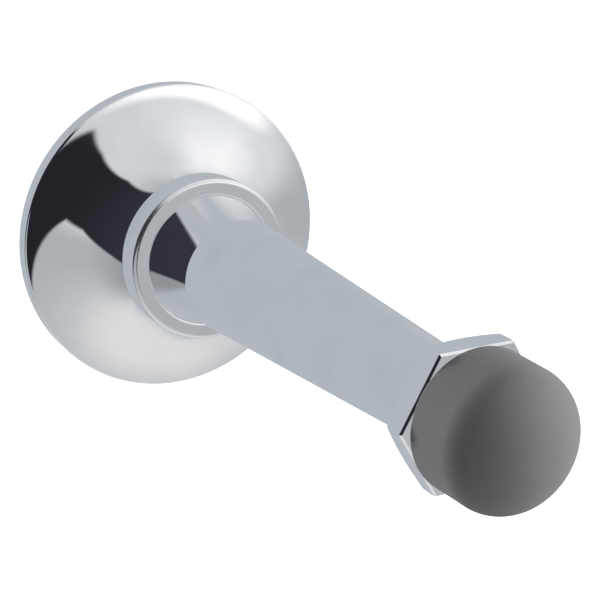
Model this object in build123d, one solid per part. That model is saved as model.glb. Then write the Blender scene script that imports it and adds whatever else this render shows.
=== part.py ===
from build123d import *
import math
import os

# A rigid door stop for a wall or a skirting board. The wall's face is the plane Y = 0, the stop
# stands out from it along -Y and its fixing goes into the wall along +Y. Sizes are millimetres.
# A height is a distance out from the wall's face, so a height inside the wall is negative.

# --- overall ---
PROJECTION = 100.0            # wall to the crown of the bumper

# --- rose: the cast round foot, hollow behind, with a raised ring round the post ---
ROSE_RADIUS = 25.0
RIM_HEIGHT = 3.0              # straight edge of the rose
RIM_ROUND = 0.35
FLARE_SAG = 1.7               # how far the flare dips under a straight cone
RING_RADIUS = 12.7            # crease where the flare meets the ring's straight side
RING_FOOT_HEIGHT = 12.5
RING_TOP_HEIGHT = 17.1
RING_ROUND = 0.7              # outer edge of the ring's flat top
LIP_RADIUS = 10.5             # inner edge of the flat top
LIP_ROUND = 0.25
SEAT_HEIGHT = 14.8            # floor of the recess that the post stands on
SEAT_GROOVE = 0.15            # radial gap between the post's foot and the recess
ROSE_WALL = 2.2
RIM_WALL = 2.4
BOSS_WALL = 2.4               # wall of the central boss round the post's spigot
BOSS_SETBACK = 0.3            # the boss stops short of the wall, so that the rim bears first

# --- post: turned from bar, with a flared neck and a long taper ---
FOOT_RADIUS = 10.1
FOOT_LAND = 1.9               # straight side of the foot, inside the recess
NECK_RADIUS = 6.6             # narrow end of the neck, just behind the sharp edge
NECK_SAG = 0.25               # how far the neck dips under a straight cone
BASE_RADIUS = 8.62            # sharp edge where the taper starts
BASE_HEIGHT = 27.0
BASE_UNDERCUT = 0.2           # the step behind the sharp edge leans back by this much
TIP_RADIUS = 5.45
SPIGOT_RADIUS = 5.0           # centres the post in the rose
SPIGOT_LENGTH = 6.0
SPIGOT_CLEARANCE = 0.05
HOLE_END_ROOM = 3.0           # drilled depth past the end of a bolt or screw

# --- fixing: hanger bolt in a wall plug ---
BOLT_RADIUS = 3.0             # machine-threaded end, M6
BOLT_GRIP = 10.0              # thread engaged in the post
BOLT_CHAMFER = 0.5
BOLT_SHANK_RADIUS = 2.6       # plain collar between the two threads
BOLT_SHANK_LENGTH = 2.0
WOOD_THREAD_RADIUS = 2.9
WOOD_THREAD_LENGTH = 22.0
BOLT_POINT_LENGTH = 6.0
BOLT_HOLE_CLEARANCE = 0.3     # bolt in the rose's boss
THREAD_CLEARANCE = 0.05       # thread envelope in its tapped hole
PLUG_RADIUS = 4.0
PLUG_LENGTH = 25.0
PLUG_SLEEVE = 8.0             # plain part at the plug's mouth
PLUG_BITE = 0.1               # how deep the wood thread bites into the plug
PLUG_SLIT = 1.2
PLUG_RIB_PITCH = 2.4
PLUG_RIB_DEPTH = 0.45
PLUG_NOSE = 2.0
PLUG_NOSE_RADIUS = 3.2

# --- collar: hexagonal, tapped, with a boss that carries the bumper ---
HEX_ACROSS_FLATS = 17.0
HEX_THICKNESS = 3.6
HEX_TURN = 0.0                # degrees, a corner from +X
HEX_BACK_CHAMFER_ANGLE = 30.0
HEX_BACK_LAND = 0.2           # how far the back's round face stays inside the flats
HEX_FRONT_CHAMFER = 0.25
COLLAR_BOSS_RADIUS = 4.0
COLLAR_BOSS_HEIGHT = 1.8

# --- screw and washer that hold the bumper ---
SCREW_RADIUS = 2.5            # M5
SCREW_LENGTH = 14.0           # under the head
SCREW_HEAD_RADIUS = 4.6
SCREW_HEAD_HEIGHT = 2.8
SCREW_HEAD_EDGE = 1.0         # straight part of the head, below its dome
SCREW_CROSS_WIDTH = 1.2
SCREW_CROSS_LENGTH = 4.8
SCREW_CROSS_DEPTH = 1.6
WASHER_RADIUS = 6.0
WASHER_THICKNESS = 1.2

# --- bumper: moulded rubber cap ---
BUMPER_HEIGHT = 12.3          # collar's front face to the crown
BUMPER_FOOT_RADIUS = 8.75
BUMPER_SHOULDER_RADIUS = 8.62
BUMPER_DOME_HEIGHT = 6.2
BUMPER_SHOULDER_ROUND = 4.6   # turns the side into the flatter crown
BUMPER_FOOT_ROUND = 0.35
BUMPER_GAP = 0.15             # play between the rubber and the turning collar
BUMPER_ROOM = 0.3             # room round the washer and the screw's head

# --- heights that follow from the sizes above ---
COLLAR_FRONT = PROJECTION - BUMPER_HEIGHT
COLLAR_BACK = COLLAR_FRONT - HEX_THICKNESS
BOSS_FRONT = COLLAR_FRONT + COLLAR_BOSS_HEIGHT
WASHER_FRONT = BOSS_FRONT + WASHER_THICKNESS
SCREW_TOP = WASHER_FRONT + SCREW_HEAD_HEIGHT
SCREW_END = WASHER_FRONT - SCREW_LENGTH
SPIGOT_END = SEAT_HEIGHT - SPIGOT_LENGTH
BOLT_TOP = SPIGOT_END + BOLT_GRIP
SHOULDER_HEIGHT = PROJECTION - BUMPER_DOME_HEIGHT
SEAT_RADIUS = FOOT_RADIUS + SEAT_GROOVE
SOCKET_RADIUS = SPIGOT_RADIUS + SPIGOT_CLEARANCE
BOSS_RADIUS = SOCKET_RADIUS + BOSS_WALL
TAPPED_BOLT_RADIUS = BOLT_RADIUS + THREAD_CLEARANCE
TAPPED_SCREW_RADIUS = SCREW_RADIUS + THREAD_CLEARANCE

# Outlines are drawn as (radius, height) on this plane and turned about the stop's axis.
AXIAL = Plane(origin=(0, 0, 0), x_dir=(1, 0, 0), z_dir=(0, 0, -1))


def turned(*curves):
    """The solid of revolution of a closed outline of (radius, height) curves."""
    outline = make_face([edge for curve in curves for edge in curve.edges()])
    return revolve(AXIAL * outline, axis=Axis.Y)


def rod(radius, low, high):
    """A plain round rod on the stop's axis between two heights."""
    return turned(Polyline((0, low), (radius, low), (radius, high), (0, high), close=True))


def tube(inner, outer, low, high):
    """A plain ring on the stop's axis between two heights."""
    return rod(outer, low, high) - rod(inner, low - 1, high + 1)


def flare_points(offset):
    """Three points of the rose's flare, moved into the metal by an offset."""
    rim = Vector(ROSE_RADIUS, RIM_HEIGHT)
    crease = Vector(RING_RADIUS, RING_FOOT_HEIGHT)
    chord = crease - rim
    away = Vector(-chord.Y, chord.X).normalized() * -1
    radius = (chord.length**2 / 4 + FLARE_SAG**2) / (2 * FLARE_SAG)
    middle = (rim + crease) * 0.5
    centre = middle + away * (radius - FLARE_SAG)
    dip = middle - away * FLARE_SAG
    return [centre + (p - centre).normalized() * (radius + offset) for p in (rim, dip, crease)]


def arc(points):
    return ThreePointArc(*[(p.X, p.Y) for p in points])


def rose():
    rim, dip, crease = flare_points(0)
    top = RING_TOP_HEIGHT
    body = turned(
        Polyline((0, 0), (ROSE_RADIUS, 0), (ROSE_RADIUS, RIM_HEIGHT)),
        arc([rim, dip, crease]),
        Line((RING_RADIUS, RING_FOOT_HEIGHT), (RING_RADIUS, top - RING_ROUND)),
        CenterArc((RING_RADIUS - RING_ROUND, top - RING_ROUND), RING_ROUND, 0, 90),
        Line((RING_RADIUS - RING_ROUND, top), (LIP_RADIUS, top)),
        CenterArc((LIP_RADIUS, top - LIP_ROUND), LIP_ROUND, 90, 90),
        Polyline(
            (LIP_RADIUS - LIP_ROUND, top - LIP_ROUND),
            (SEAT_RADIUS, SEAT_HEIGHT),
            (0, SEAT_HEIGHT),
            (0, 0),
        ),
    )
    rim_edges = [
        e
        for e in body.edges().filter_by(GeomType.CIRCLE)
        if abs(e.radius - ROSE_RADIUS) < 0.01 and e.center().Y < -RIM_HEIGHT / 2
    ]
    body = fillet(rim_edges, RIM_ROUND)
    under_rim, under_dip, under_crease = flare_points(ROSE_WALL)
    ceiling = under_crease.Y
    under_skin = turned(
        Polyline((0, ceiling), (0, -1), (under_rim.X, -1), (under_rim.X, under_rim.Y)),
        arc([under_rim, under_dip, under_crease]),
        Line((under_crease.X, ceiling), (0, ceiling)),
    )
    hollow = under_skin & tube(BOSS_RADIUS, ROSE_RADIUS - RIM_WALL, -2, ceiling + 1)
    return (
        body
        - hollow
        - rod(BOSS_RADIUS + 1, -1, BOSS_SETBACK)
        - rod(BOLT_RADIUS + BOLT_HOLE_CLEARANCE, -1, SEAT_HEIGHT)
        - rod(SOCKET_RADIUS, SPIGOT_END - BOSS_SETBACK, SEAT_HEIGHT + 1)
    )


def post():
    neck_start = SEAT_HEIGHT + FOOT_LAND
    neck_end = BASE_HEIGHT - BASE_UNDERCUT
    body = turned(
        Polyline(
            (0, SPIGOT_END),
            (SPIGOT_RADIUS, SPIGOT_END),
            (SPIGOT_RADIUS, SEAT_HEIGHT),
            (FOOT_RADIUS, SEAT_HEIGHT),
            (FOOT_RADIUS, neck_start),
        ),
        ThreePointArc(
            (FOOT_RADIUS, neck_start),
            ((FOOT_RADIUS + NECK_RADIUS) / 2 - NECK_SAG, (neck_start + neck_end) / 2),
            (NECK_RADIUS, neck_end),
        ),
        Polyline(
            (NECK_RADIUS, neck_end),
            (BASE_RADIUS, BASE_HEIGHT),
            (TIP_RADIUS, COLLAR_BACK),
            (0, COLLAR_BACK),
            (0, SPIGOT_END),
        ),
    )
    bolt_hole = rod(TAPPED_BOLT_RADIUS, SPIGOT_END - 1, BOLT_TOP + HOLE_END_ROOM)
    screw_hole = rod(TAPPED_SCREW_RADIUS, SCREW_END - HOLE_END_ROOM, COLLAR_BACK + 1)
    return body - bolt_hole - screw_hole


def hanger_bolt():
    point_start = BOLT_POINT_LENGTH - WOOD_THREAD_LENGTH - BOLT_SHANK_LENGTH
    point_end = -WOOD_THREAD_LENGTH - BOLT_SHANK_LENGTH
    step = BOLT_RADIUS - BOLT_SHANK_RADIUS
    return turned(
        Polyline(
            (0, BOLT_TOP),
            (BOLT_RADIUS - BOLT_CHAMFER, BOLT_TOP),
            (BOLT_RADIUS, BOLT_TOP - BOLT_CHAMFER),
            (BOLT_RADIUS, step),
            (BOLT_SHANK_RADIUS, 0),
            (BOLT_SHANK_RADIUS, -BOLT_SHANK_LENGTH),
            (WOOD_THREAD_RADIUS, -BOLT_SHANK_LENGTH - step),
            (WOOD_THREAD_RADIUS, point_start),
            (0, point_end),
            close=True,
        )
    )


def wall_plug():
    body = turned(
        Polyline(
            (0, 0),
            (PLUG_RADIUS, 0),
            (PLUG_RADIUS, PLUG_NOSE - PLUG_LENGTH),
            (PLUG_NOSE_RADIUS, -PLUG_LENGTH),
            (0, -PLUG_LENGTH),
            close=True,
        )
    )
    ribbed_length = PLUG_LENGTH - PLUG_NOSE - PLUG_SLEEVE
    grooves = int(ribbed_length // PLUG_RIB_PITCH)
    for i in range(grooves):
        start = -PLUG_SLEEVE - i * PLUG_RIB_PITCH
        body -= turned(
            Polyline(
                (PLUG_RADIUS - PLUG_RIB_DEPTH, start),
                (PLUG_RADIUS + 1, start),
                (PLUG_RADIUS + 1, start - PLUG_RIB_PITCH),
                (PLUG_RADIUS, start - PLUG_RIB_PITCH),
                close=True,
            )
        )
    slit_length = PLUG_LENGTH - PLUG_SLEEVE
    slit = Pos(0, PLUG_SLEEVE + slit_length / 2 + 0.5, 0) * Box(
        PLUG_SLIT, slit_length + 1, 2 * PLUG_RADIUS + 2
    )
    return body - rod(WOOD_THREAD_RADIUS - PLUG_BITE, -PLUG_LENGTH - 1, 1) - slit


def hex_collar():
    corner = HEX_ACROSS_FLATS / 2 / math.cos(math.radians(30))
    sides = RegularPolygon(radius=corner, side_count=6, rotation=HEX_TURN)
    front_plane = Plane(origin=(0, -COLLAR_FRONT, 0), x_dir=(1, 0, 0), z_dir=(0, 1, 0))
    body = extrude(front_plane * sides, HEX_THICKNESS)
    body = chamfer(body.faces().sort_by(Axis.Y)[0].edges(), HEX_FRONT_CHAMFER)
    land = HEX_ACROSS_FLATS / 2 - HEX_BACK_LAND
    reach = corner + 1
    rise = (reach - land) * math.tan(math.radians(HEX_BACK_CHAMFER_ANGLE))
    body &= turned(
        Polyline(
            (0, COLLAR_BACK),
            (land, COLLAR_BACK),
            (reach, COLLAR_BACK + rise),
            (reach, COLLAR_FRONT),
            (0, COLLAR_FRONT),
            close=True,
        )
    )
    body += rod(COLLAR_BOSS_RADIUS, COLLAR_FRONT - 0.5, BOSS_FRONT)
    return body - rod(TAPPED_SCREW_RADIUS, COLLAR_BACK - 1, BOSS_FRONT + 1)


def retaining_washer():
    return tube(TAPPED_SCREW_RADIUS, WASHER_RADIUS, BOSS_FRONT, WASHER_FRONT)


def tip_screw():
    dome = SCREW_HEAD_HEIGHT - SCREW_HEAD_EDGE
    dome_radius = (SCREW_HEAD_RADIUS**2 + dome**2) / (2 * dome)
    half_way = SCREW_HEAD_RADIUS / 2
    crown = (0, SCREW_TOP)
    shoulder = (SCREW_HEAD_RADIUS, WASHER_FRONT + SCREW_HEAD_EDGE)
    bulge = (half_way, SCREW_TOP - dome_radius + math.sqrt(dome_radius**2 - half_way**2))
    body = turned(
        Polyline(
            crown,
            (0, SCREW_END),
            (SCREW_RADIUS - BOLT_CHAMFER, SCREW_END),
            (SCREW_RADIUS, SCREW_END + BOLT_CHAMFER),
            (SCREW_RADIUS, WASHER_FRONT),
            (SCREW_HEAD_RADIUS, WASHER_FRONT),
            shoulder,
        ),
        ThreePointArc(shoulder, bulge, crown),
    )
    middle = -(SCREW_TOP - SCREW_CROSS_DEPTH / 2 + 0.5)
    slot = Pos(0, middle, 0) * Box(SCREW_CROSS_WIDTH, SCREW_CROSS_DEPTH + 1, SCREW_CROSS_LENGTH)
    return body - slot - Rot(0, 90, 0) * slot


def bumper():
    foot = COLLAR_FRONT + BUMPER_GAP
    lip_radius = COLLAR_BOSS_RADIUS + BUMPER_ROOM
    washer_room = WASHER_RADIUS + BUMPER_ROOM
    head_room = SCREW_HEAD_RADIUS + BUMPER_ROOM
    round_side = (BUMPER_FOOT_RADIUS, foot + BUMPER_FOOT_ROUND)
    round_foot = (BUMPER_FOOT_RADIUS - BUMPER_FOOT_ROUND, foot)
    turn = BUMPER_FOOT_ROUND * (1 - math.cos(math.radians(45)))
    reach = BUMPER_SHOULDER_RADIUS - BUMPER_SHOULDER_ROUND
    crown_radius = (reach**2 + BUMPER_DOME_HEIGHT**2 - BUMPER_SHOULDER_ROUND**2) / (
        2 * (BUMPER_DOME_HEIGHT - BUMPER_SHOULDER_ROUND)
    )
    meeting = math.degrees(math.atan2(crown_radius - BUMPER_DOME_HEIGHT, reach))
    return turned(
        Polyline(
            (0, PROJECTION),
            (0, SCREW_TOP + BUMPER_ROOM),
            (head_room, SCREW_TOP + BUMPER_ROOM),
            (head_room, WASHER_FRONT + BUMPER_ROOM),
            (washer_room, WASHER_FRONT + BUMPER_ROOM),
            (washer_room, BOSS_FRONT - BUMPER_GAP),
            (lip_radius, BOSS_FRONT - BUMPER_GAP),
            (lip_radius, foot),
            round_foot,
        ),
        ThreePointArc(round_foot, (BUMPER_FOOT_RADIUS - turn, foot + turn), round_side),
        Line(round_side, (BUMPER_SHOULDER_RADIUS, SHOULDER_HEIGHT)),
        CenterArc((reach, SHOULDER_HEIGHT), BUMPER_SHOULDER_ROUND, 0, meeting),
        CenterArc((0, PROJECTION - crown_radius), crown_radius, meeting, 90 - meeting),
    )


PIECES = {
    "wall_plug": wall_plug,
    "hanger_bolt": hanger_bolt,
    "rose": rose,
    "post": post,
    "hex_collar": hex_collar,
    "tip_screw": tip_screw,
    "retaining_washer": retaining_washer,
    "bumper": bumper,
}

os.makedirs("parts", exist_ok=True)
for name, make in PIECES.items():
    export_step(make(), f"parts/{name}.step")
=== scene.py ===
import math

import bmesh
import bpy
from mathutils import Matrix, Vector


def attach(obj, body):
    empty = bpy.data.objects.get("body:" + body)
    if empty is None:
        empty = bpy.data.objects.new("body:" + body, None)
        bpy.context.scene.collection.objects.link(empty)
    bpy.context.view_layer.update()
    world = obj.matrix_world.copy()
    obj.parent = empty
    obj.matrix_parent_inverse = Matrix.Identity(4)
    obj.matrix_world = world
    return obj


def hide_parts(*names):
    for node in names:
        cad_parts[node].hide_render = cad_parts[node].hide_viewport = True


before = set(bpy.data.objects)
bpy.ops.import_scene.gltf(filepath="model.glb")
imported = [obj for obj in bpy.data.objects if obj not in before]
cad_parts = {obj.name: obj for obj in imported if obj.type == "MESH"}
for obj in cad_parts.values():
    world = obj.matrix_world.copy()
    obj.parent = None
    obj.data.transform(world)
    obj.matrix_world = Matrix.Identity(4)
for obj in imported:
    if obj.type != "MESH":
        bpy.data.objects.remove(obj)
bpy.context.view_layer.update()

MM = 0.001

# --- Studio -----------------------------------------------------------------------------------
# The stop is shown by itself above a pale lit table. A studio of pale screens surrounds it, and
# one long dark screen on its left gives the chrome its black reflections.


class Wire:
    """A socket in a node tree. Arithmetic on wires adds the Math nodes that work it out."""

    def __init__(self, tree, socket=None):
        self.tree, self.socket = tree, socket

    def add(self, kind, settings=None, sockets=None, out=0):
        """A new node: its settings first, then values or wires for its sockets."""
        node = self.tree.nodes.new(kind)
        for name, value in (settings or {}).items():
            setattr(node, name, value)
        for name, value in (sockets or {}).items():
            if isinstance(value, Wire):
                self.tree.links.new(value.socket, node.inputs[name])
            else:
                node.inputs[name].default_value = value
        return Wire(self.tree, node.outputs[out]) if len(node.outputs) else None

    def maths(self, operation, *values):
        return self.add("ShaderNodeMath", {"operation": operation}, dict(enumerate(values)))

    def ramp(self, low, high):
        """0 below low, 1 above high, and smooth between."""
        return self.add(
            "ShaderNodeMapRange",
            {"interpolation_type": "SMOOTHSTEP"},
            {"Value": self, "From Min": low, "From Max": high},
        )

    def __add__(self, other):
        return self.maths("ADD", self, other)

    def __sub__(self, other):
        return self.maths("SUBTRACT", self, other)

    def __rsub__(self, other):
        return self.maths("SUBTRACT", other, self)

    def __mul__(self, other):
        return self.maths("MULTIPLY", self, other)

    def __truediv__(self, other):
        return self.maths("DIVIDE", self, other)

    __radd__ = __add__
    __rmul__ = __mul__


def tinted(base, tint, mask):
    """base with tint over it where mask is 1."""
    return mask.add(
        "ShaderNodeMix",
        {"data_type": "RGBA"},
        {0: mask, 6: base, 7: tint},
        out=2,
    )


def grey(level, blue=0.0):
    """A linear grey with a little blue in it."""
    return (level * (1 - blue), level, level * (1 + blue), 1)


world = bpy.data.worlds.new("studio")
bpy.context.scene.world = world
world.use_nodes = True
world.node_tree.nodes.clear()
sky = Wire(world.node_tree)
direction = sky.add("ShaderNodeTexCoord", out=0)
across, along, upward = (
    direction.add("ShaderNodeSeparateXYZ", sockets={0: direction}, out=k) for k in range(3)
)
turn = across.maths("ARCTAN2", across, 0 - along) * (180 / math.pi)
rise = upward.maths("ARCSINE", upward) * (180 / math.pi)

# Screens from the bottom to the top: the table, a grey lower wall and a paler upper wall. Turn is
# 0 straight in front of the stop and grows to its right, rise is 0 level, and both are in degrees.
TABLE, LOWER_WALL, UPPER_WALL = grey(0.76), grey(0.47, 0.05), grey(0.69, 0.02)
LEFT_SHADE, HIGH_LEFT, RIGHT_SCREEN = grey(0.32, 0.06), grey(0.50, 0.03), grey(0.98, 0.01)
REAR_SCREEN, LAMP = grey(0.50, 0.075), grey(1.25)
NIGHT, DUSK = (0.018, 0.017, 0.023, 1), (0.033, 0.034, 0.046, 1)
light = tinted(TABLE, LOWER_WALL, rise.ramp(-75, -15))
shade = (1 - turn.ramp(-120, -60)) * rise.ramp(-62, -30)
light = tinted(light, LEFT_SHADE, shade)
light = tinted(light, UPPER_WALL, rise.ramp(-8, 8))
dim = (1 - turn.ramp(-130, -30)) * rise.ramp(40, 62) * (1 - rise.ramp(70, 90))
light = tinted(light, HIGH_LEFT, dim)
right = turn.ramp(-5, 95) * (1 - turn.ramp(108, 145)) * rise.ramp(-4, 42)
light = tinted(light, RIGHT_SCREEN, right * (1 - rise.ramp(55, 88)))
behind = turn.ramp(124, 146) + (1 - turn.ramp(-136, -126))
behind = behind * (1 - rise.ramp(55, 80)) * rise.ramp(-72, -42)
light = tinted(light, REAR_SCREEN, behind)

# The dark screen lies between two edges, each the lowest of three lines across turn and rise.
steep, level, shallow = 18.4 - turn * 0.78, 24 - turn * 0.5, 43.4 - turn * 0.176
upper_edge = steep.maths("MINIMUM", steep.maths("MINIMUM", steep, level), shallow)
climb, drop, sill = turn * 0.405 + 25.7, -32.5 - turn * 0.875, 2.5
lower_edge = climb.maths("MINIMUM", climb.maths("MINIMUM", climb, drop), sill)
dark = (rise - lower_edge).ramp(-1.5, 1.5) * (upper_edge - rise).ramp(-2, 2)
dark = dark * turn.ramp(-131, -125) * (1 - turn.ramp(-4, 0))
light = tinted(light, tinted(DUSK, NIGHT, turn.ramp(-120, -30)), dark)

# A small oval lamp stands to the right, a little above level.
from_lamp, over_lamp = turn - 32, rise - 15
lamp = from_lamp * from_lamp / 700 + over_lamp * over_lamp / 140
light = tinted(light, LAMP, 1 - lamp.ramp(0.05, 1.3))

seen = sky.add("ShaderNodeLightPath", out=0)
studio = sky.add("ShaderNodeBackground", sockets={"Color": light, "Strength": 1.0})
plain = sky.add("ShaderNodeBackground", sockets={"Color": grey(0.96), "Strength": 1.0})
both = sky.add("ShaderNodeMixShader", sockets={0: seen, 1: studio, 2: plain})
sky.add("ShaderNodeOutputWorld", sockets={"Surface": both})

bpy.context.scene.view_settings.view_transform = "Standard"


def flat_sheet(name, half, height):
    """A square sheet lying level."""
    mesh = bpy.data.meshes.new(name)
    corners = [(-half, -half), (half, -half), (half, half), (-half, half)]
    mesh.from_pydata([(x, y, height) for x, y in corners], [], [(0, 1, 2, 3)])
    sheet = bpy.data.objects.new(name, mesh)
    bpy.context.scene.collection.objects.link(sheet)
    return sheet


TABLE_HALF, TABLE_HEIGHT = 6.0, -0.30
table = flat_sheet("lit_table", TABLE_HALF, TABLE_HEIGHT)
table_top = bpy.data.materials.new("lit table top")
table_top.use_nodes = True
table_glow = table_top.node_tree.nodes["Principled BSDF"]
table_glow.inputs["Base Color"].default_value = (0.9, 0.9, 0.9, 1)
table_glow.inputs["Roughness"].default_value = 0.9
table_glow.inputs["Emission Color"].default_value = (1, 1, 1, 1)
table_glow.inputs["Emission Strength"].default_value = 0.6
table.data.materials.append(table_top)
table.visible_glossy = False
table.visible_diffuse = False

# Three soft boxes shade the matt pieces. They stay out of the chrome's reflections.
SOFT_BOX_SIZE = 0.5
AIM = Vector((0, -0.09, 0))
for name, turn_deg, rise_deg, power in (
    ("right_box", 62, 8, 11.0),
    ("back_box", -150, 5, 11.0),
    ("table_box", 20, -80, 5.0),
):
    box_light = bpy.data.lights.new(name, "AREA")
    box_light.energy, box_light.size = power, SOFT_BOX_SIZE
    soft_box = bpy.data.objects.new(name, box_light)
    bpy.context.scene.collection.objects.link(soft_box)
    turn_rad, rise_rad = math.radians(turn_deg), math.radians(rise_deg)
    away = Vector((
        math.sin(turn_rad) * math.cos(rise_rad),
        -math.cos(turn_rad) * math.cos(rise_rad),
        math.sin(rise_rad),
    ))
    soft_box.matrix_world = Matrix.Translation(away + AIM) @ (
        away.to_track_quat("Z", "Y").to_matrix().to_4x4()
    )
    soft_box.visible_glossy = False
    soft_box.visible_camera = False

lens = bpy.data.cameras.new("front_left")
lens.lens, lens.sensor_width = 84, 36
lens.clip_start, lens.clip_end = 0.01, 50
camera = bpy.data.objects.new("front_left", lens)
bpy.context.scene.collection.objects.link(camera)
CAMERA_PLACE = (-0.084774, -0.205648, 0.061167)
back = Vector((-0.44607, -0.83907, 0.31141)).normalized()
side = Vector((0, 0, 1)).cross(back).normalized()
camera.matrix_world = Matrix.Translation(CAMERA_PLACE) @ Matrix(
    (side, back.cross(side), back)
).transposed().to_4x4()
bpy.context.scene.camera = camera

# --- Wall plug -------------------------------------------------------------------------------
# The plug is moulded in pale nylon with a slit and saw-tooth ribs that grip the wall. The hanger
# bolt's wood thread spreads it.


def bare_material(name):
    """A material with an empty tree, and a wire with the object's own coordinates."""
    material = bpy.data.materials.new(name)
    material.use_nodes = True
    material.node_tree.nodes.clear()
    return material, Wire(material.node_tree).add("ShaderNodeTexCoord", out=3)


def noise(place, scale, detail):
    sockets = {"Vector": place, "Scale": scale, "Detail": detail}
    return place.add("ShaderNodeTexNoise", sockets=sockets)


def bumped(height, strength, distance):
    """A normal that a height pattern tilts."""
    sockets = {"Strength": strength, "Distance": distance, "Height": height}
    return height.add("ShaderNodeBump", sockets=sockets)


def surfaced(material, place, sockets):
    """The material, with a principled surface from these sockets as its output."""
    surface = place.add("ShaderNodeBsdfPrincipled", sockets=sockets)
    surface.add("ShaderNodeOutputMaterial", sockets={"Surface": surface})
    return material


def nylon(name, colour, darker):
    """Matt moulded nylon with a slightly mottled skin."""
    material, place = bare_material(name)
    mottle = noise(place, 400.0, 5.0)
    grain = noise(place, 2600.0, 2.0)
    return surfaced(material, place, {
        "Base Color": tinted(colour, darker, mottle.ramp(0.4, 0.7)),
        "Roughness": 0.42 + mottle * 0.2,
        "Subsurface Weight": 0.15,
        "Subsurface Scale": 0.002,
        "Normal": bumped(grain, 0.25, 0.0001),
    })


pale_nylon = nylon("pale nylon", (0.62, 0.63, 0.64, 1), (0.52, 0.53, 0.54, 1))
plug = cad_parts["wall_plug"]
for part in plug.material_slots:
    part.material = pale_nylon

# --- Hanger bolt -----------------------------------------------------------------------------
# The zinc-plated steel stud has a coarse wood thread for the plug and an M6 thread for the post.
# Both threads are rolled on the turned blank.

SHARP_ANGLE = math.radians(28)


def rounded(corners, steps=7):
    """An outline of (radius, height, rounding) corners as points, with close pairs by each arc."""
    points = []
    count = len(corners)
    for i, (radius, height, rounding) in enumerate(corners):
        here = Vector((radius, height))
        if rounding == 0:
            points.append(here)
            continue
        before = (Vector(corners[i - 1][:2]) - here).normalized()
        after = (Vector(corners[(i + 1) % count][:2]) - here).normalized()
        half = before.angle(after) / 2
        reach = rounding / math.tan(half)
        middle = here + (before + after).normalized() * rounding / math.sin(half)
        start, end = here + before * reach, here + after * reach
        guard = min(0.08, reach)
        points.append(start + before * guard)
        first, last = start - middle, end - middle
        sweep = first.angle_signed(last)
        for k in range(steps + 1):
            points.append(middle + Matrix.Rotation(-sweep * k / steps, 2) @ first)
        points.append(end + after * guard)
    return points


def arc_points(start, end, sag, steps):
    """Points of an arc from start to end, without its ends, that bows by sag to its left."""
    start, end = Vector(start), Vector(end)
    chord = end - start
    left = Vector((-chord.y, chord.x)).normalized() * (1 if sag > 0 else -1)
    radius = (chord.length ** 2 / 4 + sag * sag) / (2 * abs(sag))
    middle = (start + end) / 2 + left * (abs(sag) - radius)
    first, last = start - middle, end - middle
    sweep = first.angle_signed(last)
    return [
        (*(middle + Matrix.Rotation(-sweep * k / steps, 2) @ first), 0)
        for k in range(1, steps)
    ]


def turned(name, outline, sides=192, closed=True):
    """A piece turned on the stop's axis from an outline of (radius, height) in mm."""
    shape = bmesh.new()
    rings = []
    for radius, height in outline:
        if radius < 1e-6:
            rings.append([shape.verts.new((0, -height * MM, 0))])
            continue
        rings.append([
            shape.verts.new((
                radius * math.cos(2 * math.pi * k / sides) * MM,
                -height * MM,
                radius * math.sin(2 * math.pi * k / sides) * MM,
            ))
            for k in range(sides)
        ])
    for one, two in zip(rings, rings[1:] + (rings[:1] if closed else [])):
        if len(one) == 1 and len(two) == 1:
            continue
        for k in range(sides):
            k2 = (k + 1) % sides
            if len(one) == 1:
                shape.faces.new((one[0], two[k], two[k2]))
            elif len(two) == 1:
                shape.faces.new((one[k], two[0], one[k2]))
            else:
                shape.faces.new((one[k], two[k], two[k2], one[k2]))
    bmesh.ops.remove_doubles(shape, verts=shape.verts, dist=1e-7)
    bmesh.ops.recalc_face_normals(shape, faces=shape.faces)
    mesh = bpy.data.meshes.new(name)
    shape.to_mesh(mesh)
    shape.free()
    mesh.shade_smooth()
    mesh.set_sharp_from_angle(angle=SHARP_ANGLE)
    piece = bpy.data.objects.new(name, mesh)
    bpy.context.scene.collection.objects.link(piece)
    return piece


def zinc(name, warmth):
    """Bright zinc plate on rolled steel: satin, with cloudy passivation."""
    plate, place = bare_material(name)
    cloud = noise(place, 260.0, 4.0)
    pits = noise(place, 3500.0, 2.0)
    fresh, passivated = (0.66, 0.67, 0.68, 1), (0.66 + warmth, 0.63, 0.60 - warmth, 1)
    return surfaced(plate, place, {
        "Base Color": tinted(fresh, passivated, cloud.ramp(0.4, 0.7)),
        "Metallic": 1.0,
        "Roughness": 0.22 + cloud * 0.16,
        "Normal": bumped(pits, 0.15, 0.00005),
    })


def sized_tree(name, plate, sizes):
    """A new geometry tree: a wire to build from, its inputs by name, and their values."""
    tree = bpy.data.node_groups.new(name, "GeometryNodeTree")
    inputs = {}
    tree.interface.new_socket("Shape", in_out="OUTPUT", socket_type="NodeSocketGeometry")
    for label, value in sizes.items():
        made = tree.interface.new_socket(label, in_out="INPUT", socket_type="NodeSocketFloat")
        inputs[made.identifier] = value
    made = tree.interface.new_socket("Plate", in_out="INPUT", socket_type="NodeSocketMaterial")
    inputs[made.identifier] = plate
    asked = tree.nodes.new("NodeGroupInput")
    size = {socket.name: Wire(tree, socket) for socket in asked.outputs if socket.name}
    return Wire(tree), size, inputs


RIDGE_WIDTH = 0.46  # half of a thread's ridge at its root, as a share of the pitch


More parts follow.
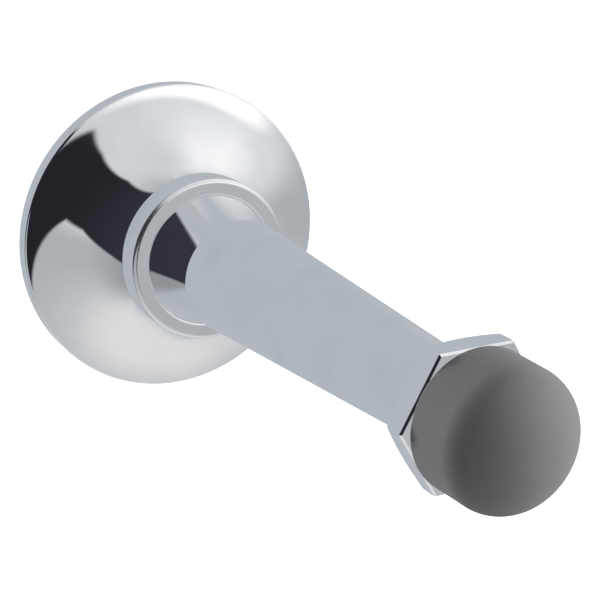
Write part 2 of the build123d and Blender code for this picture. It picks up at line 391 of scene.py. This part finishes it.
def rolled_thread(name, plate, sizes):
    """A screw thread's ridge along the stop's axis, from a spiral swept with a V."""
    start, size, inputs = sized_tree(name, plate, sizes)
    length = size["High"] - size["Low"]
    spiral = start.add(
        "GeometryNodeCurveSpiral",
        sockets={
            "Resolution": 40,
            "Rotations": length / size["Pitch"],
            "Start Radius": size["Core radius"],
            "End Radius": size["End radius"],
            "Height": length,
        },
    )
    ridge = start.add("GeometryNodeCurvePrimitiveCircle", sockets={"Resolution": 4, "Radius": 1.0})
    ridge = start.add(
        "GeometryNodeTransform",
        sockets={
            "Geometry": ridge,
            "Scale": start.add(
                "ShaderNodeCombineXYZ",
                sockets={"X": size["Depth"], "Y": size["Pitch"] * RIDGE_WIDTH, "Z": 1.0},
            ),
        },
    )
    upright = start.add("GeometryNodeSetCurveNormal", {"mode": "Z_UP"}, {"Curve": spiral})
    taper = start.add("GeometryNodeSplineParameter")
    run_out = taper.ramp(0.0, 0.04) * (1 - taper.ramp(0.96, 1.0)) * 0.9 + 0.1
    swept = start.add(
        "GeometryNodeCurveToMesh",
        sockets={"Curve": upright, "Profile Curve": ridge, "Scale": run_out, "Fill Caps": True},
    )
    laid = start.add(
        "GeometryNodeTransform",
        sockets={
            "Geometry": swept,
            "Rotation": (math.radians(90), 0, 0),
            "Translation": start.add("ShaderNodeCombineXYZ", sockets={"Y": 0 - size["Low"]}),
        },
    )
    return grown(name, laid, size["Plate"], inputs)


def grown(name, shape, plate, inputs):
    """The plain mesh that a geometry tree makes of a shape, in its plate, with these inputs."""
    real = shape.add("GeometryNodeRealizeInstances", sockets={"Geometry": shape})
    dressing = {"Geometry": real, "Material": plate}
    coated = shape.add("GeometryNodeSetMaterial", sockets=dressing)
    handed = shape.tree.nodes.new("NodeGroupOutput")
    shape.tree.links.new(coated.socket, handed.inputs["Shape"])
    carrier = bpy.data.objects.new(name, bpy.data.meshes.new(name))
    bpy.context.scene.collection.objects.link(carrier)
    step = carrier.modifiers.new("made", "NODES")
    step.node_group = shape.tree
    for identifier, value in inputs.items():
        step[identifier] = value
    bpy.context.view_layer.update()
    shown = carrier.evaluated_get(bpy.context.evaluated_depsgraph_get())
    mesh = bpy.data.meshes.new_from_object(shown)
    carrier.modifiers.remove(step)
    carrier.data = mesh
    mesh.name = name
    finish = [material for material in mesh.materials if material]
    mesh.materials.clear()
    for material in finish:
        mesh.materials.append(material)
    for face in mesh.polygons:
        face.material_index = 0
    return carrier


bright_zinc = zinc("bright zinc", 0.02)
BOLT_TOP, MACHINE_CORE, SHANK_RADIUS, WOOD_CORE = 18.8, 2.5, 2.6, 2.05
bolt_blank = turned(
    "hanger_bolt_blank",
    rounded([
        (0, BOLT_TOP, 0),
        (2.0, BOLT_TOP, 0.05),
        (MACHINE_CORE, 18.3, 0.1),
        (MACHINE_CORE, 0.4, 0.05),
        (SHANK_RADIUS, 0, 0.05),
        (SHANK_RADIUS, -2.0, 0.05),
        (WOOD_CORE, -2.4, 0.05),
        (WOOD_CORE, -18.0, 0.4),
        (0, -24.0, 0),
    ]),
    sides=64,
)
bolt_blank.data.materials.append(bright_zinc)
machine_thread = rolled_thread(
    "hanger_bolt_machine_thread",
    bright_zinc,
    {
        "Core radius": MACHINE_CORE * MM,
        "End radius": MACHINE_CORE * MM,
        "Depth": 0.49 * MM,
        "Pitch": 1.0 * MM,
        "Low": 0.6 * MM,
        "High": 18.2 * MM,
    },
)
wood_thread = rolled_thread(
    "hanger_bolt_wood_thread",
    bright_zinc,
    {
        "Core radius": 1.2 * MM,
        "End radius": WOOD_CORE * MM,
        "Depth": 0.72 * MM,
        "Pitch": 2.2 * MM,
        "Low": -20.5 * MM,
        "High": -2.9 * MM,
    },
)
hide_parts("hanger_bolt")
for steel in (bolt_blank, machine_thread, wood_thread):
    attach(steel, "fixing")

# --- Rose ------------------------------------------------------------------------------------
# The round foot is a die casting, hollow behind with a boss in the middle, polished and chrome
# plated. A raised ring stands round the recess that the post sits in.


def chrome(name, waviness, marks, satin_height=None):
    """Bright chrome plate, faintly rolling, with hairline marks, and satin above a height."""
    plate, place = bare_material(name)
    roll = noise(place, 70.0, 1.0)
    stretch = {"Vector": place, "Scale": (900, 160, 900)}
    hairs = noise(place.add("ShaderNodeMapping", sockets=stretch), 3.0, 3.0)
    haze = noise(place, 130.0, 4.0)
    roughness = 0.035 + haze.ramp(0.45, 0.75) * 0.03 + hairs.ramp(0.55, 0.75) * marks
    if satin_height:
        depth = place.add("ShaderNodeSeparateXYZ", sockets={"Vector": place}, out=1)
        satin = (0 - depth).ramp(satin_height, satin_height + 0.25 * MM)
        roughness = roughness + satin * 0.22
    return surfaced(plate, place, {
        "Base Color": tinted(
            (0.93, 0.935, 0.945, 1), (0.86, 0.87, 0.885, 1), haze.ramp(0.4, 0.8)
        ),
        "Metallic": 1.0,
        "Roughness": roughness,
        "Normal": bumped(roll, waviness, 0.0004),
    })


ROSE_RADIUS, RIM_HEIGHT, FLARE_SAG = 25.0, 3.0, 1.7
RING_RADIUS, RING_FOOT, RING_TOP = 12.7, 12.5, 17.1
SEAT_RADIUS, SEAT_HEIGHT = 10.25, 14.8
SOCKET_RADIUS, SOCKET_DEPTH = 5.05, 8.5
BOLT_CLEARANCE_RADIUS, BOSS_RADIUS, BOSS_SETBACK = 3.3, 7.45, 0.3
CEILING_RADIUS, CEILING_HEIGHT = 11.2, 10.4
RIM_INNER_RADIUS, RIM_INNER_HEIGHT = 22.6, 1.2
rose_outline = rounded([
    (RIM_INNER_RADIUS, 0, 0.15),
    (ROSE_RADIUS, 0, 0.15),
    (ROSE_RADIUS, RIM_HEIGHT, 0.35),
    *arc_points((ROSE_RADIUS, RIM_HEIGHT), (RING_RADIUS, RING_FOOT), FLARE_SAG, 40),
    (RING_RADIUS, RING_FOOT, 0.25),
    (RING_RADIUS, RING_TOP, 0.7),
    (SEAT_RADIUS, RING_TOP, 0.25),
    (SEAT_RADIUS, SEAT_HEIGHT, 0.1),
    (SOCKET_RADIUS, SEAT_HEIGHT, 0.1),
    (SOCKET_RADIUS, SOCKET_DEPTH, 0.1),
    (BOLT_CLEARANCE_RADIUS, SOCKET_DEPTH, 0.1),
    (BOLT_CLEARANCE_RADIUS, BOSS_SETBACK, 0.1),
    (BOSS_RADIUS, BOSS_SETBACK, 0.3),
    (BOSS_RADIUS, CEILING_HEIGHT, 0.6),
    (CEILING_RADIUS, CEILING_HEIGHT, 0.6),
    *arc_points(
        (CEILING_RADIUS, CEILING_HEIGHT), (RIM_INNER_RADIUS, RIM_INNER_HEIGHT), -FLARE_SAG, 24
    ),
    (RIM_INNER_RADIUS, RIM_INNER_HEIGHT, 0.2),
])
rose = turned("rose_casting", rose_outline, sides=256)
rose_chrome = chrome("chrome plate on casting", 0.03, 0.02, satin_height=RING_FOOT * MM)
rose.data.materials.append(rose_chrome)
rose.visible_glossy = False
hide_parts("rose")
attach(rose, "rose")

# --- Post ------------------------------------------------------------------------------------
# The post is turned from brass bar and chrome plated: a neck that widens down to the rose's ring,
# a crisp edge above it, and a long straight taper. A spigot centres it in the rose.


POST_SIDES = 224
FOOT_RADIUS, TIP_RADIUS = 10.1, 5.45
TIP_HEIGHT = 84.1
SPIGOT_RADIUS, SPIGOT_END = 5.0, 8.8
BOLT_HOLE_RADIUS, SCREW_HOLE_RADIUS = 3.05, 2.55


def turned_bar(name, plate, sizes):
    """The waisted and tapered bar, swept along the stop's axis from its radius at each height."""
    start, size, inputs = sized_tree(name, plate, sizes)
    along_bar = start.add("GeometryNodeSplineParameter")

    def cone(low, high):
        return size[low] + along_bar * (size[high] - size[low])

    bow = size["Neck sag"] * 4 * along_bar * (1 - along_bar)
    runs = [
        ("Seat", "Foot", 3, size["Foot radius"] + along_bar * 0),
        ("Foot", "Step", 48, cone("Foot radius", "Neck radius") - bow),
        ("Step", "Edge", 4, cone("Neck radius", "Edge radius")),
        ("Edge", "Tip", 40, cone("Edge radius", "Tip radius")),
    ]
    section = start.add(
        "GeometryNodeCurvePrimitiveCircle", sockets={"Resolution": POST_SIDES, "Radius": 1.0}
    )
    joined = start.tree.nodes.new("GeometryNodeJoinGeometry")
    for low, high, count, radius in runs:
        line = start.add(
            "GeometryNodeCurvePrimitiveLine",
            sockets={
                "Start": start.add("ShaderNodeCombineXYZ", sockets={"Y": 0 - size[low]}),
                "End": start.add("ShaderNodeCombineXYZ", sockets={"Y": 0 - size[high]}),
            },
        )
        divided = start.add("GeometryNodeResampleCurve", sockets={"Curve": line, "Count": count})
        swept = start.add(
            "GeometryNodeCurveToMesh",
            sockets={"Curve": divided, "Profile Curve": section, "Scale": radius},
        )
        start.tree.links.new(swept.socket, joined.inputs[0])
    welded = start.add(
        "GeometryNodeMergeByDistance",
        sockets={"Geometry": Wire(start.tree, joined.outputs[0]), "Distance": 1e-6},
    )
    return grown(name, welded, size["Plate"], inputs)


post_chrome = chrome("chrome plate on bar", 0.02, 0.02)
post_skin = turned_bar(
    "post_bar",
    post_chrome,
    {
        "Seat": SEAT_HEIGHT * MM,
        "Foot": 16.7 * MM,
        "Step": 26.8 * MM,
        "Edge": 27.0 * MM,
        "Tip": TIP_HEIGHT * MM,
        "Foot radius": FOOT_RADIUS * MM,
        "Neck radius": 6.6 * MM,
        "Neck sag": 0.25 * MM,
        "Edge radius": 8.62 * MM,
        "Tip radius": TIP_RADIUS * MM,
    },
)
post_ends = turned(
    "post_spigot",
    rounded([
        (FOOT_RADIUS, SEAT_HEIGHT, 0),
        (SPIGOT_RADIUS, SEAT_HEIGHT, 0.1),
        (SPIGOT_RADIUS, SPIGOT_END, 0.3),
        (BOLT_HOLE_RADIUS, SPIGOT_END, 0.15),
        (BOLT_HOLE_RADIUS, 21.8, 0),
        (0, 23.4, 0),
        (0, 72.0, 0),
        (SCREW_HOLE_RADIUS, 73.7, 0),
        (SCREW_HOLE_RADIUS, TIP_HEIGHT, 0.15),
        (TIP_RADIUS, TIP_HEIGHT, 0),
    ]),
    sides=POST_SIDES,
    closed=False,
)
whole = bmesh.new()
whole.from_mesh(post_skin.data)
whole.from_mesh(post_ends.data)
bmesh.ops.remove_doubles(whole, verts=whole.verts, dist=2e-6)
bmesh.ops.recalc_face_normals(whole, faces=whole.faces)
for face in whole.faces:
    face.smooth, face.material_index = True, 0
whole.to_mesh(post_skin.data)
whole.free()
bpy.data.objects.remove(post_ends)
post_skin.data.set_sharp_from_angle(angle=SHARP_ANGLE)
post_skin.visible_glossy = False
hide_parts("post")
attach(post_skin, "post")

# --- Collar ----------------------------------------------------------------------------------
# The hexagonal collar is cut from bar, with a turned chamfer at its back, and chrome plated like
# the post. It locks the bumper and turns with the screw.

collar_chrome = chrome("chrome plate on hexagon", 0.01, 0.01)
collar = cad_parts["hex_collar"]
collar.visible_glossy = False
for part in collar.material_slots:
    part.material = collar_chrome

# --- Tip screw and washer --------------------------------------------------------------------
# A pan-head M5 screw with a cross recess holds the washer, and the washer holds the bumper's
# inner lip on the collar. Both are zinc-plated steel.

HEAD_RADIUS, HEAD_TOP, HEAD_EDGE = 4.6, 93.5, 91.7
SCREW_CORE, SCREW_END = 2.1, 76.7
WASHER_RADIUS, WASHER_TOP, WASHER_BACK = 6.0, 90.7, 89.5
screw_blank = turned(
    "tip_screw_blank",
    rounded([
        (0, HEAD_TOP, 0),
        *arc_points((0, HEAD_TOP), (HEAD_RADIUS, HEAD_EDGE), 0.45, 10),
        (HEAD_RADIUS, HEAD_EDGE, 0.1),
        (HEAD_RADIUS, WASHER_TOP, 0.1),
        (SCREW_CORE, WASHER_TOP, 0.1),
        (SCREW_CORE, 77.2, 0.1),
        (1.6, SCREW_END, 0.05),
        (0, SCREW_END, 0),
    ]),
    sides=64,
)
recess = bmesh.new()
for wide, tall in ((1.2, 4.8), (4.8, 1.2)):
    bmesh.ops.create_cube(
        recess,
        size=MM,
        matrix=Matrix.Translation((0, -93.2 * MM, 0)) @ Matrix.Diagonal((wide, 2.6, tall, 1)),
    )
cutter_mesh = bpy.data.meshes.new("cross_recess")
recess.to_mesh(cutter_mesh)
recess.free()
cutter = bpy.data.objects.new("cross_recess", cutter_mesh)
bpy.context.scene.collection.objects.link(cutter)
cut = screw_blank.modifiers.new("cut", "BOOLEAN")
cut.object, cut.operation, cut.solver, cut.use_self = cutter, "DIFFERENCE", "EXACT", True
bpy.context.view_layer.update()
cut_mesh = bpy.data.meshes.new_from_object(
    screw_blank.evaluated_get(bpy.context.evaluated_depsgraph_get())
)
screw_blank.modifiers.remove(cut)
screw_blank.data = cut_mesh
bpy.data.objects.remove(cutter)
screw_blank.data.materials.clear()
screw_blank.data.materials.append(bright_zinc)
screw_thread = rolled_thread(
    "tip_screw_thread",
    bright_zinc,
    {
        "Core radius": SCREW_CORE * MM,
        "End radius": SCREW_CORE * MM,
        "Depth": 0.39 * MM,
        "Pitch": 0.8 * MM,
        "Low": 77.3 * MM,
        "High": 90.2 * MM,
    },
)
washer = turned(
    "retaining_washer_ring",
    rounded([
        (SCREW_HOLE_RADIUS, WASHER_BACK, 0.08),
        (WASHER_RADIUS, WASHER_BACK, 0.2),
        (WASHER_RADIUS, WASHER_TOP, 0.35),
        (SCREW_HOLE_RADIUS, WASHER_TOP, 0.08),
    ]),
    sides=96,
)
washer.data.materials.append(bright_zinc)
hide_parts("tip_screw")
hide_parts("retaining_washer")
for steel in (screw_blank, screw_thread, washer):
    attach(steel, "collar")

# --- Bumper ----------------------------------------------------------------------------------
# The cap is moulded in grey rubber, with a soft dome to meet the door. An inner lip snaps behind
# the washer, so the cap stays still as the collar turns.


def rubber(name, colour, paler):
    """Moulded rubber: matt, with the mould's fine spark-eroded grain and a little bloom."""
    material, place = bare_material(name)
    bloom = noise(place, 180.0, 4.0)
    grain = noise(place, 4200.0, 3.0)
    speck = grain.ramp(0.62, 0.75) * 0.3
    return surfaced(material, place, {
        "Base Color": tinted(colour, paler, bloom.ramp(0.4, 0.75) * 0.4 + speck),
        "Roughness": 0.62 + bloom * 0.12,
        "Specular IOR Level": 0.35,
        "Normal": bumped(grain, 0.35, 0.00006),
    })


SHOULDER_RADIUS, SHOULDER_HEIGHT, SHOULDER_ROUND = 8.62, 93.8, 4.6
SHOULDER_STEPS, CROWN_STEPS = 28, 14
CROWN = 100.0
CAP_FOOT, CAP_FOOT_RADIUS = 87.85, 8.75
CAP_LIP_RADIUS, CAP_LIP_TOP = 4.3, 89.35
CAP_ROOM_RADIUS, CAP_ROOM_TOP = 6.3, 91.0
HEAD_ROOM_RADIUS = 4.9
reach = SHOULDER_RADIUS - SHOULDER_ROUND
dome = CROWN - SHOULDER_HEIGHT
crown_radius = (reach ** 2 + dome ** 2 - SHOULDER_ROUND ** 2) / (2 * (dome - SHOULDER_ROUND))
meeting = math.atan2(crown_radius - dome, reach)
crown_sweep = math.pi / 2 - meeting
cap_outline = [
    (
        reach + SHOULDER_ROUND * math.cos(meeting * k / SHOULDER_STEPS),
        SHOULDER_HEIGHT + SHOULDER_ROUND * math.sin(meeting * k / SHOULDER_STEPS),
        0,
    )
    for k in range(SHOULDER_STEPS + 1)
]
cap_outline += [
    (
        crown_radius * math.sin(crown_sweep * (1 - k / CROWN_STEPS)),
        CROWN - crown_radius + crown_radius * math.cos(crown_sweep * (1 - k / CROWN_STEPS)),
        0,
    )
    for k in range(1, CROWN_STEPS + 1)
]
cap = turned(
    "bumper_cap",
    rounded([
        (CAP_LIP_RADIUS, CAP_FOOT, 0.1),
        (CAP_FOOT_RADIUS, CAP_FOOT, 0.35),
        *cap_outline,
        (0, SHOULDER_HEIGHT, 0),
        (HEAD_ROOM_RADIUS, SHOULDER_HEIGHT, 0.2),
        (HEAD_ROOM_RADIUS, CAP_ROOM_TOP, 0.1),
        (CAP_ROOM_RADIUS, CAP_ROOM_TOP, 0.1),
        (CAP_ROOM_RADIUS, CAP_LIP_TOP, 0.1),
        (CAP_LIP_RADIUS, CAP_LIP_TOP, 0.1),
    ]),
    sides=160,
)
cap_rubber = rubber("grey rubber", grey(0.19), grey(0.225))
cap.data.materials.append(cap_rubber)
cap.visible_glossy = False
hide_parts("bumper")
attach(cap, "bumper")
